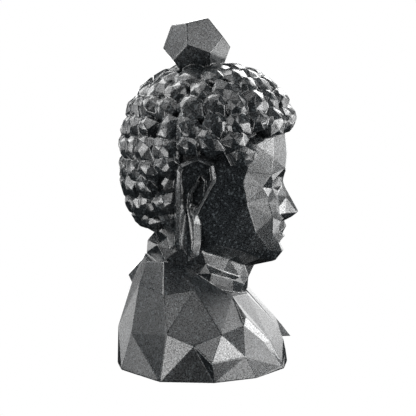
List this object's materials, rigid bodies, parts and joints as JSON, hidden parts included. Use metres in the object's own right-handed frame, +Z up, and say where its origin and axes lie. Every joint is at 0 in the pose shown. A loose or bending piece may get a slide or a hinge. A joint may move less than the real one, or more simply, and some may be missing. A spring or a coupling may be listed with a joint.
{
  "type": "faceted buddha head bust",
  "caption": "Faceted ornament bust of the Buddha: head with gem cut curls, twelve sided topknot and long ears on a neck and shoulders, cut flat below.",
  "frame": {"origin": "centre of the bounding box on the flat underside", "axes": "+Z up, the face looks along -Y, the figure's left is +X"},
  "size_m": [0.3, 0.221, 0.42],
  "materials": {
    "cast_stone": "charcoal grey granite look, fine speckle, satin sealed"
  },
  "bodies": {
    "root": {"buddha_bust": "cast_stone"}
  },
  "joints": []
}
